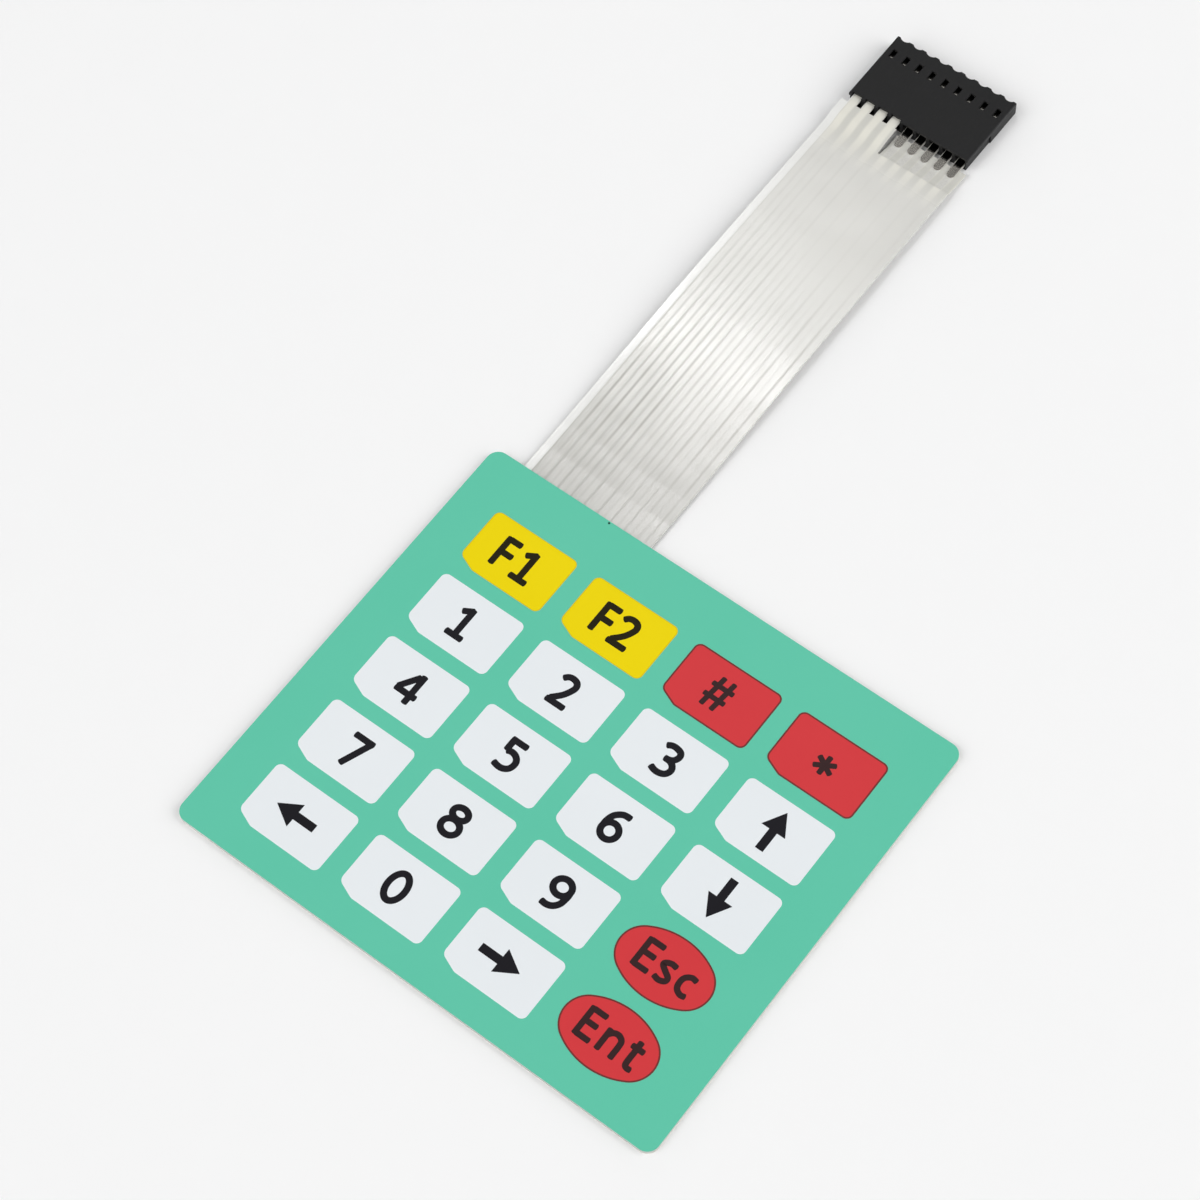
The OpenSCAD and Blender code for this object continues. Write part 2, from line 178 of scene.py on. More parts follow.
# Direction from the middle, width and height in metres, distance in metres, and share of full white
LAMPS = {
    "left_softbox": ((-0.35, -0.6, 0.7), (1.8, 1.8), 2.0, 0.42),
    "right_softbox": ((0.8, 0.35, 0.65), (1.8, 1.8), 2.0, 0.42),
}

# Place in millimetres at which a level face mirrors it to the camera, width and height in metres,
# and share of full white
GLARES = {
    "glare_softbox": ((-16.0, 50.5, 1.4), (0.12, 0.04), 0.042),
    "sheen_softbox": ((-22.0, 86.0, 1.6), (0.16, 0.09), 0.03),
}
GLARE_DISTANCE = 0.7
GLARE_ROLL = 42.2      # turns the long side of the glare across the tail

# Floor, in millimetres

FLOOR_DROP = 0.02      # gap below the liner, so that the two faces aren't in one plane
FLOOR_HALF = 2500.0    # half of its side

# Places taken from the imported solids

yellow_low, yellow_high = np.array(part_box("yellow_key_print")) / MM
white_low, white_high = np.array(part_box("white_key_print")) / MM
yellow_size = yellow_high - yellow_low
white_size = white_high - white_low
col_pitch = (white_size[0] - yellow_size[0]) / (WHITE_COLUMNS - YELLOW_COLUMNS)
key_w = yellow_size[0] - (YELLOW_COLUMNS - 1) * col_pitch
key_h = yellow_size[1]
row_pitch = (white_size[1] - key_h) / (WHITE_ROWS - 1)
key_top = yellow_high[2]
first_x = yellow_low[0] + key_w / 2
first_y = (yellow_low[1] + yellow_high[1]) / 2
oval_x = first_x + (WHITE_COLUMNS - 1) * col_pitch
oval_w = 2 * (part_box("red_key_print")[1][0] / MM - oval_x)
first_way, last_way = (np.mean(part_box(f"contact_{way}"), axis=0)[0] / MM for way in (1, WAYS))
way_pitch = (last_way - first_way) / (WAYS - 1)
panel_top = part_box("overlay_film")[1][1] / MM
tail_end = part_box("connector_housing")[0][1] / MM
painted_shade_from, painted_shade_to = ((panel_top + distance) * MM for distance in ROOT_PAINTED_SHADE)
rise_from, rise_to = ((panel_top + distance) * MM for distance in LINE_RISE)
fade_from, fade_to = ((tail_end - distance) * MM for distance in LINE_FADE)
coat_from, coat_to = ((tail_end - distance) * MM for distance in COAT_EDGE)


def key_centre(row, col):
    """Centre of a key, rows from the top and columns from the left."""
    return np.array([first_x + col * col_pitch, first_y - row * row_pitch])


# Strokes and outlines

def unit(steps):
    """Each row at length one."""
    return steps / np.linalg.norm(steps, axis=1, keepdims=True)


def line(*points):
    """A stroke that runs straight from point to point."""
    return np.array(points, float)


def curve(*points):
    """A stroke on a smooth cubic through the points.
    Its slope at each point is half the step from the point before to the point after."""
    p = np.array(points, float)
    p = np.vstack([2 * p[0] - p[1], p, 2 * p[-1] - p[-2]])
    t = np.linspace(0, 1, CURVE_STEPS, endpoint=False)[:, None]
    a, b, c, d = p[:-3, None], p[1:-2, None], p[2:-1, None], p[3:, None]
    slope = (c - a) / 2
    bend = a - 2.5 * b + 2 * c - d / 2
    twist = (3 * b - a - 3 * c + d) / 2
    span = b + slope * t + bend * t ** 2 + twist * t ** 3
    return np.vstack([span.reshape(-1, 2), p[-2]])


def arc(x, y, radius, start, end):
    """Points on a circle from one angle to another, in degrees."""
    turn = np.radians(np.linspace(start, end, ARC_STEPS))
    return np.column_stack([x + radius * np.cos(turn), y + radius * np.sin(turn)])


def ring(x, y, across, up):
    """A closed stroke on an ellipse with the two half axes."""
    turn = np.linspace(0, 2 * np.pi, RING_STEPS + 1)
    return np.column_stack([x + across * np.cos(turn), y + up * np.sin(turn)])


def rounded_polygon(corners, radii):
    """A closed path round a convex polygon, anticlockwise, with an arc of the given radius at each corner.
    An arc's middle lies on the corner's bisector, and the arc starts where it touches the side before."""
    corners = np.array(corners, float)
    back = unit(np.roll(corners, 1, 0) - corners)
    ahead = unit(np.roll(corners, -1, 0) - corners)
    half = np.arccos(np.sum(back * ahead, axis=1)) / 2
    radii = np.array(radii)
    middles = corners + unit(back + ahead) * (radii / np.sin(half))[:, None]
    starts = corners + back * (radii / np.tan(half))[:, None] - middles
    start = np.degrees(np.arctan2(starts[:, 1], starts[:, 0]))
    sweep = 180 - 2 * np.degrees(half)
    arcs = [arc(*middle, r, a, a + turn) for middle, r, a, turn in zip(middles, radii, start, sweep)]
    return np.vstack([*arcs, arcs[0][:1]])


def key_outline():
    """A closed path round a key: three rounded corners, and a cut with blunter corners at the lower left."""
    x, y = key_w / 2, key_h / 2
    corners = [(CUT_W - x, -y), (x, -y), (x, y), (-x, y), (-x, CUT_H - y)]
    return rounded_polygon(corners, [CUT_R, KEY_R, KEY_R, KEY_R, CUT_R])


def oval_outline():
    """A closed path round an oval key: two end arcs, and two flat arcs that meet them without a corner."""
    x, y = oval_w / 2, key_h / 2
    end_x = x - OVAL_END_R
    flank_r = (end_x ** 2 + y ** 2 - OVAL_END_R ** 2) / (2 * (y - OVAL_END_R))
    lean = np.degrees(np.arctan2(flank_r - y, end_x))
    quarter = np.vstack([arc(end_x, 0, OVAL_END_R, 0, lean), arc(0, y - flank_r, flank_r, lean, 90)[1:]])
    half = np.vstack([quarter, quarter[-2::-1] * (-1, 1)])
    return np.vstack([half, half[-2::-1] * (1, -1)])


def round_ended(path, width):
    """A stroke's path and its widths, which fall off at both ends on the quarter of an ellipse."""
    along = np.concatenate([[0], np.cumsum(np.linalg.norm(np.diff(path, axis=0), axis=1))])
    cap = width * CAP_SHARE
    turn = np.radians(np.linspace(CAP_START, 90, CAP_STEPS))
    inner = along[(along > cap) & (along < along[-1] - cap)]
    tip = cap * (1 - np.cos(turn))
    stations = np.concatenate([tip, inner, along[-1] - tip[::-1]])
    widths = np.concatenate([width * np.sin(turn), np.full(len(inner), width), width * np.sin(turn[::-1])])
    return np.column_stack([np.interp(stations, along, path[:, k]) for k in (0, 1)]), widths


def ribbon(path, width, low, high):
    """A flat slab: a rectangle, as wide as given there, carried along the path between two heights.
    Its sides stand on the mitred normals, and a path that ends where it starts is closed."""
    closed = np.allclose(path[0], path[-1])
    path = path[:-1] if closed else path
    before = np.roll(path, 1, 0)
    after = np.roll(path, -1, 0)
    if not closed:
        before[0] = 2 * path[0] - path[1]
        after[-1] = 2 * path[-1] - path[-2]
    normals = [unit(step)[:, ::-1] * (-1, 1) for step in (path - before, after - path)]
    mitre = (normals[0] + normals[1]) / (1 + np.sum(normals[0] * normals[1], axis=1, keepdims=True))
    side = mitre * np.reshape(width, (-1, 1)) / 2
    corners = [(path + side, low), (path - side, low), (path - side, high), (path + side, high)]
    points = np.stack([np.column_stack([xy, np.full(len(xy), z)]) for xy, z in corners], axis=1)
    index = np.arange(points.shape[0] * 4).reshape(-1, 4)
    here, there = (index, np.roll(index, -1, 0)) if closed else (index[:-1], index[1:])
    faces = np.stack([here, there, np.roll(there, -1, 1), np.roll(here, -1, 1)], axis=2).reshape(-1, 4)
    if not closed:
        faces = np.vstack([faces, index[:1], index[-1:, ::-1]])
    return points.reshape(-1, 3), faces


def piece(name, slabs, material):
    """One mesh object of several closed slabs, in metres, riding on the keypad."""
    starts = np.cumsum([0] + [len(points) for points, _ in slabs[:-1]])
    points = np.vstack([points for points, _ in slabs]) * MM
    faces = np.vstack([faces + start for (_, faces), start in zip(slabs, starts)])
    mesh = bpy.data.meshes.new(name)
    mesh.from_pydata(points.tolist(), [], faces.tolist())
    mesh.materials.append(material)
    obj = bpy.data.objects.new(name, mesh)
    bpy.context.scene.collection.objects.link(obj)
    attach(obj, "root")


# Materials

def linear(colour):
    """A hex sRGB colour as linear red, green, blue and one."""
    srgb = np.array([int(colour[i:i + 2], 16) for i in (1, 3, 5)]) / 255
    steep = ((srgb + 0.055) / 1.055) ** 2.4
    return (*np.where(srgb <= 0.04045, srgb / 12.92, steep), 1.0)


def per_metre(size):
    """Texture scale at which one feature of the pattern is about this many millimetres."""
    return 1 / (size * MM)


def add(tree, kind, inputs=None, **settings):
    """A new node with its settings: an input given as a socket is linked, any other value is set on it."""
    node = tree.nodes.new(kind)
    for name, value in settings.items():
        setattr(node, name, value)
    for name, value in (inputs or {}).items():
        if isinstance(value, bpy.types.NodeSocket):
            tree.links.new(value, node.inputs[name])
        else:
            node.inputs[name].default_value = value
    return node


def blank(name):
    """A material with an empty node tree, its tree and the object coordinates in it."""
    material = bpy.data.materials.new(name)
    material.use_nodes = True
    tree = material.node_tree
    tree.nodes.clear()
    return material, tree, add(tree, "ShaderNodeTexCoord").outputs["Object"]


def surface(tree, inputs):
    """Ends a material's tree with a Principled shader that takes these inputs."""
    shader = add(tree, "ShaderNodeBsdfPrincipled", inputs)
    add(tree, "ShaderNodeOutputMaterial", {"Surface": shader.outputs[0]})


def screen_ink(name, pale, deep, roughness=INK_ROUGHNESS):
    """Screen-printed ink under a hard satin coat: a faint cloudy unevenness of the coat, a fine grain from
    the mesh and a slightly uneven sheen. The real grain is under 0.1 mm, and is drawn coarse to show."""
    material, tree, place = blank(name)
    cloud = add(tree, "ShaderNodeTexNoise", {"Vector": place, "Scale": per_metre(INK_CLOUD), "Detail": 3.0})
    grain = add(tree, "ShaderNodeTexNoise", {"Vector": place, "Scale": per_metre(INK_GRAIN), "Detail": 2.0})
    body = add(tree, "ShaderNodeMix", {
        MIX_SHARE: cloud.outputs[0], MIX_FROM: linear(pale), MIX_TO: linear(deep),
    }, data_type="RGBA")
    sheen = add(tree, "ShaderNodeMapRange", {
        "Value": grain.outputs[0], "To Min": roughness - INK_UNEVEN, "To Max": roughness + INK_UNEVEN,
    })
    bump = add(tree, "ShaderNodeBump", {
        "Strength": 0.12, "Distance": FINE_RELIEF * MM, "Height": grain.outputs[0],
    })
    surface(tree, {
        "Base Color": body.outputs[MIX_OUT],
        "Roughness": sheen.outputs[0],
        "IOR": 1.5,
        "Specular IOR Level": INK_GLOSS,
        "Normal": bump.outputs[0],
    })
    return material


def polyester_film(name, pale, deep, roughness):
    """Milky extruded film: a fine uneven haze, and a shallow waviness across the web that bends the glare."""
    material, tree, place = blank(name)
    wave = add(tree, "ShaderNodeTexNoise", {"Vector": place, "Scale": per_metre(FILM_WAVE), "Detail": 1.0})
    haze = add(tree, "ShaderNodeTexNoise", {"Vector": place, "Scale": per_metre(FILM_HAZE), "Detail": 3.0})
    body = add(tree, "ShaderNodeMix", {
        MIX_SHARE: haze.outputs[0], MIX_FROM: linear(pale), MIX_TO: linear(deep),
    }, data_type="RGBA")
    rough = add(tree, "ShaderNodeMapRange", {
        "Value": haze.outputs[0], "To Min": roughness - FILM_UNEVEN, "To Max": roughness + FILM_UNEVEN,
    })
    bump = add(tree, "ShaderNodeBump", {
        "Strength": 0.3, "Distance": FILM_WAVE_DEPTH * MM, "Height": wave.outputs[0],
    })
    surface(tree, {
        "Base Color": body.outputs[MIX_OUT],
        "Roughness": rough.outputs[0],
        "IOR": 1.6,
        "Normal": bump.outputs[0],
    })
    return material


def film_ridges(tree, ways):
    """Height of the film over its conductors, from 0 to 1: flat along their middles, with smooth flanks."""
    away = add(tree, "ShaderNodeMath", {0: ways, 1: HALF_WAY}, operation="PINGPONG")
    ridge = add(tree, "ShaderNodeMapRange", {
        "Value": away.outputs[0],
        "From Min": RIDGE_HALF / way_pitch,
        "From Max": RIDGE_FOOT / way_pitch,
        "To Min": 1.0,
        "To Max": 0.0,
    }, interpolation_type="SMOOTHSTEP")
    return ridge.outputs[0]


def film_shade_lines(tree, ways, along):
    """Strength of the thin dark line at the right of each conductor, a painted shade where the glare breaks:
    full at the upper film's conductors, fainter at the others, weak by the panel and all but gone towards the
    connector."""
    aside = add(tree, "ShaderNodeMath", {0: ways, 1: LINE_ASIDE / way_pitch}, operation="SUBTRACT")
    away = add(tree, "ShaderNodeMath", {0: aside.outputs[0], 1: HALF_WAY}, operation="PINGPONG")
    depth = add(tree, "ShaderNodeMapRange", {
        "Value": ways,
        "From Min": TOP_WAYS - 1.0,
        "From Max": float(TOP_WAYS),
        "To Min": 1.0,
        "To Max": LINE_FAINT,
    })
    rise = add(tree, "ShaderNodeMapRange", {
        "Value": along, "From Min": rise_from, "From Max": rise_to, "To Min": LINE_AT_ROOT, "To Max": 1.0,
    })
    fade = add(tree, "ShaderNodeMapRange", {
        "Value": along, "From Min": fade_from, "From Max": fade_to, "To Min": 1.0, "To Max": LINE_AT_END,
    })
    risen = add(tree, "ShaderNodeMath", {0: depth.outputs[0], 1: rise.outputs[0]}, operation="MULTIPLY")
    faded = add(tree, "ShaderNodeMath", {0: risen.outputs[0], 1: fade.outputs[0]}, operation="MULTIPLY")
    painted_shade_line = add(tree, "ShaderNodeMapRange", {
        "Value": away.outputs[0],
        "From Min": 0.0,
        "From Max": LINE_W / way_pitch,
        "To Min": faded.outputs[0],
        "To Max": 0.0,
    }, interpolation_type="SMOOTHSTEP")
    return painted_shade_line.outputs[0]


def film_tone_with_painted_light(tree, ways, along, haze):
    """Colour of the bare film: greyer where it leaves the panel, a painted shade, then slowly paler towards
    the connector and to the left, painted light, with a faint haze."""
    # Painted light: the tone grows paler towards the connector and to the left
    onward = add(tree, "ShaderNodeMapRange", {
        "Value": along, "From Min": panel_top * MM, "From Max": tail_end * MM, "To Min": 0.0, "To Max": 1.0,
    })
    leftward = add(tree, "ShaderNodeMapRange", {
        "Value": ways, "From Min": 0.0, "From Max": WAYS - 1.0, "To Min": LEFT_PAINTED_LIGHT, "To Max": 0.0,
    })
    paler = add(tree, "ShaderNodeMath", {0: onward.outputs[0], 1: leftward.outputs[0]}, operation="ADD")
    cloudy = add(tree, "ShaderNodeMath", {
        0: haze, 1: HAZE_SHARE, 2: paler.outputs[0],
    }, operation="MULTIPLY_ADD")
    body = add(tree, "ShaderNodeMix", {
        MIX_SHARE: cloudy.outputs[0], MIX_FROM: linear("#C7C6C1"), MIX_TO: linear("#D5D4CF"),
    }, data_type="RGBA")
    # Painted shade: the film is painted greyer where it bends up from the panel
    root = add(tree, "ShaderNodeMapRange", {"Value": along, "From Min": painted_shade_from, "From Max": painted_shade_to})
    painted_shade_tone = add(tree, "ShaderNodeMix", {
        MIX_SHARE: root.outputs[0], MIX_FROM: linear("#BDBCB7"), MIX_TO: body.outputs[MIX_OUT],
    }, data_type="RGBA")
    return painted_shade_tone.outputs[MIX_OUT]


def printed_film():
    """Milky polyester laminated over printed silver: glossy, paler along the bare left margin, and standing
    up over each conductor as a low flat ridge with a thin dark line of painted shade along its right side,
    where the glare breaks. The end at the connector has a matt coat, cream over the conductors and greyer
    between them."""
    material, tree, place = blank("laminated_polyester_film")
    spot = add(tree, "ShaderNodeSeparateXYZ", {0: place})
    along = spot.outputs["Y"]
    count = add(tree, "ShaderNodeMapRange", {
        "Value": spot.outputs["X"],
        "From Min": first_way * MM,
        "From Max": last_way * MM,
        "To Min": 0.0,
        "To Max": WAYS - 1.0,
    }, clamp=False)
    ways = count.outputs[0]
    wave = add(tree, "ShaderNodeTexNoise", {"Vector": place, "Scale": per_metre(TAIL_WAVE), "Detail": 1.0})
    haze = add(tree, "ShaderNodeTexNoise", {"Vector": place, "Scale": per_metre(FILM_HAZE), "Detail": 3.0})
    ridge = film_ridges(tree, ways)
    coat = add(tree, "ShaderNodeMapRange", {"Value": along, "From Min": coat_from, "From Max": coat_to})
    margin = add(tree, "ShaderNodeMapRange", {
        "Value": ways,
        "From Min": -MARGIN_FROM / way_pitch,
        "From Max": -MARGIN_TO / way_pitch,
        "To Min": 1.0,
        "To Max": 0.0,
    })
    # Painted shade: a thin dark line along each ridge's right side, where the glare breaks
    lined = add(tree, "ShaderNodeMix", {
        MIX_SHARE: film_shade_lines(tree, ways, along),
        MIX_FROM: film_tone_with_painted_light(tree, ways, along, haze.outputs[0]),
        MIX_TO: linear("#9C9A93"),
    }, data_type="RGBA")
    striped = add(tree, "ShaderNodeMix", {
        MIX_SHARE: ridge, MIX_FROM: linear("#CCCBC4"), MIX_TO: linear("#E2E0D6"),
    }, data_type="RGBA")
    coated = add(tree, "ShaderNodeMix", {
        MIX_SHARE: coat.outputs[0], MIX_FROM: lined.outputs[MIX_OUT], MIX_TO: striped.outputs[MIX_OUT],
    }, data_type="RGBA")
    edged = add(tree, "ShaderNodeMix", {
        MIX_SHARE: margin.outputs[0], MIX_FROM: coated.outputs[MIX_OUT], MIX_TO: linear("#E6E6E3"),
    }, data_type="RGBA")
    bare = add(tree, "ShaderNodeMapRange", {
        "Value": haze.outputs[0], "To Min": TAIL_ROUGHNESS[0], "To Max": TAIL_ROUGHNESS[1],
    })
    rough = add(tree, "ShaderNodeMath", {
        0: coat.outputs[0], 1: COAT_ROUGHNESS, 2: bare.outputs[0],
    }, operation="MULTIPLY_ADD")
    gloss = add(tree, "ShaderNodeMapRange", {
        "Value": coat.outputs[0], "To Min": TAIL_GLOSS, "To Max": COAT_GLOSS,
    })
    waved = add(tree, "ShaderNodeBump", {"Distance": TAIL_WAVE_DEPTH * MM, "Height": wave.outputs[0]})
    embossed = add(tree, "ShaderNodeBump", {
        "Distance": RIDGE_H * MM, "Height": ridge, "Normal": waved.outputs[0],
    })
    surface(tree, {
        "Base Color": edged.outputs[MIX_OUT],
        "Roughness": rough.outputs[0],
        "IOR": 1.6,
        "Specular IOR Level": gloss.outputs[0],
        "Normal": embossed.outputs[0],
    })
    return material


def silver_paste():
    """Screen-printed silver paste: a matt pale grey of fine flakes in resin, drawn coarse enough to show."""
    material, tree, place = blank("screen_printed_silver_paste")
    cells = add(tree, "ShaderNodeTexVoronoi", {"Vector": place, "Scale": per_metre(SILVER_FLAKE)})
    flake = cells.outputs["Distance"]
    body = add(tree, "ShaderNodeMix", {
        MIX_SHARE: flake, MIX_FROM: linear("#DEDDD8"), MIX_TO: linear("#D2D1CB"),
    }, data_type="RGBA")
    rough = add(tree, "ShaderNodeMapRange", {
        "Value": flake, "To Min": SILVER_ROUGHNESS[0], "To Max": SILVER_ROUGHNESS[1],
    })
    bump = add(tree, "ShaderNodeBump", {"Strength": 0.2, "Distance": FINE_RELIEF * MM, "Height": flake})
    surface(tree, {
        "Base Color": body.outputs[MIX_OUT],
        "Metallic": 0.1,
        "Roughness": rough.outputs[0],
        "Normal": bump.outputs[0],
    })
    return material


def moulded_nylon():
    """Injection-moulded black nylon with glass fibre: a dull near-black with a fibre grain at the skin,
    drawn coarse enough to show."""
    material, tree, place = blank("moulded_glass_filled_nylon")
    stretch = add(tree, "ShaderNodeMapping", {"Vector": place, "Scale": FIBRE_STRETCH})
    fibre = add(tree, "ShaderNodeTexNoise", {
        "Vector": stretch.outputs[0], "Scale": per_metre(NYLON_FIBRE), "Detail": 4.0,
    })
    flow = add(tree, "ShaderNodeTexNoise", {"Vector": place, "Scale": per_metre(NYLON_FLOW), "Detail": 2.0})
    body = add(tree, "ShaderNodeMix", {
        MIX_SHARE: flow.outputs[0], MIX_FROM: linear("#0D0D0E"), MIX_TO: linear("#131314"),
    }, data_type="RGBA")
    rough = add(tree, "ShaderNodeMapRange", {
        "Value": fibre.outputs[0], "To Min": NYLON_ROUGHNESS[0], "To Max": NYLON_ROUGHNESS[1],
    })
    bump = add(tree, "ShaderNodeBump", {
        "Strength": 0.25, "Distance": NYLON_RELIEF * MM, "Height": fibre.outputs[0],
    })
    surface(tree, {
        "Base Color": body.outputs[MIX_OUT],
        "Roughness": rough.outputs[0],
        "IOR": 1.53,
        "Specular IOR Level": NYLON_GLOSS,
        "Normal": bump.outputs[0],
    })
    return material


def tinned_bronze():
    """Stamped bronze strip with bright tin: soft rolling streaks along it, drawn coarse enough to show, and
    a slightly uneven sheen."""
    material, tree, place = blank("stamped_tin_plated_bronze")
    stretch = add(tree, "ShaderNodeMapping", {"Vector": place, "Scale": STREAK_STRETCH})
    streak = add(tree, "ShaderNodeTexNoise", {
        "Vector": stretch.outputs[0], "Scale": per_metre(TIN_STREAK), "Detail": 3.0,
    })
    body = add(tree, "ShaderNodeMix", {
        MIX_SHARE: streak.outputs[0], MIX_FROM: linear("#A9A6A0"), MIX_TO: linear("#918E88"),
    }, data_type="RGBA")
    rough = add(tree, "ShaderNodeMapRange", {
        "Value": streak.outputs[0], "To Min": TIN_ROUGHNESS[0], "To Max": TIN_ROUGHNESS[1],
    })
    bump = add(tree, "ShaderNodeBump", {
        "Strength": 0.15, "Distance": FINE_RELIEF * MM, "Height": streak.outputs[0],
    })
    surface(tree, {
        "Base Color": body.outputs[MIX_OUT],
        "Metallic": 1.0,
        "Roughness": rough.outputs[0],
        "Normal": bump.outputs[0],
    })
    return material


def coated_paper():
    """Calendered liner paper with a silicone coat: pale, with fibres that turn every way, drawn coarse
    enough to show."""
    material, tree, place = blank("silicone_coated_liner_paper")
    fibre = add(tree, "ShaderNodeTexNoise", {
        "Vector": place, "Scale": per_metre(PAPER_FIBRE), "Detail": 5.0, "Distortion": 1.5,
    })
    body = add(tree, "ShaderNodeMix", {
        MIX_SHARE: fibre.outputs[0], MIX_FROM: linear("#F2EEE4"), MIX_TO: linear("#E4DFD2"),
    }, data_type="RGBA")
    rough = add(tree, "ShaderNodeMapRange", {
        "Value": fibre.outputs[0], "To Min": PAPER_ROUGHNESS[0], "To Max": PAPER_ROUGHNESS[1],
    })
    bump = add(tree, "ShaderNodeBump", {
        "Strength": 0.2, "Distance": FINE_RELIEF * MM, "Height": fibre.outputs[0],
    })
    surface(tree, {
        "Base Color": body.outputs[MIX_OUT],
        "Roughness": rough.outputs[0],
        "IOR": 1.45,
        "Normal": bump.outputs[0],
    })
    return material


def matt_floor():
    """A plain matt white sweep with a barely visible tooth."""
    material, tree, place = blank("matt_white_sweep")
    tooth = add(tree, "ShaderNodeTexNoise", {"Vector": place, "Scale": per_metre(FLOOR_TOOTH), "Detail": 2.0})
    body = add(tree, "ShaderNodeMix", {
        MIX_SHARE: tooth.outputs[0], MIX_FROM: linear("#F8F8F8"), MIX_TO: linear("#F7F7F7"),
    }, data_type="RGBA")
    surface(tree, {"Base Color": body.outputs[MIX_OUT], "Roughness": 1.0, "Specular IOR Level": 0.0})
    return material


black_ink = screen_ink("screen_printed_black_ink", "#1F1E23", "#1A191E")
black_on_red = screen_ink("black_ink_printed_over_red", "#3B2728", "#362425")
black_on_yellow = screen_ink("black_ink_printed_over_yellow", "#241F0A", "#1F1B08")
red_on_green = screen_ink("red_ink_printed_over_green", "#7A3A38", "#6A302F")
yellow_on_green = screen_ink("yellow_ink_printed_over_green", "#DCC21C", "#D4BA1A")
dirt = screen_ink("greasy_dust", "#2C4A40", "#243C35", DIRT_ROUGHNESS)
adhesive = polyester_film("acrylic_adhesive_film", "#B7BCB7", "#AFB4AF", roughness=0.35)
circuit_film = printed_film()
silver = silver_paste()
contact_metal = tinned_bronze()

node_materials = {
    "release_liner": coated_paper(),
    "rear_adhesive": adhesive,
    "bottom_film": circuit_film,
    "spacer": polyester_film("milky_polyester_spacer", "#BABDB9", "#B2B5B1", roughness=0.3),
    "top_film": circuit_film,
    "overlay_adhesive": adhesive,
    "overlay_film": polyester_film("satin_polycarbonate_overlay", "#AEBDB6", "#A6B5AE", roughness=0.4),
    "background_print": screen_ink("screen_printed_green_ink", "#66C8AC", "#5EC5A7"),
    "white_key_print": screen_ink("screen_printed_white_ink", "#EBEFF2", "#E6EBEE"),
    "yellow_key_print": screen_ink("screen_printed_yellow_ink", "#F0D900", "#ECD300"),
    "red_key_print": screen_ink("screen_printed_red_ink", "#D63F43", "#D13A3F"),
    "connector_housing": moulded_nylon(),
}
for node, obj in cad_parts.items():
    if "_track_" in node:
        obj.material_slots[0].material = silver
    elif node.startswith("contact_"):
        obj.material_slots[0].material = contact_metal
    else:
        obj.material_slots[0].material = node_materials[node]

# Signs, as strokes about each sign's own middle

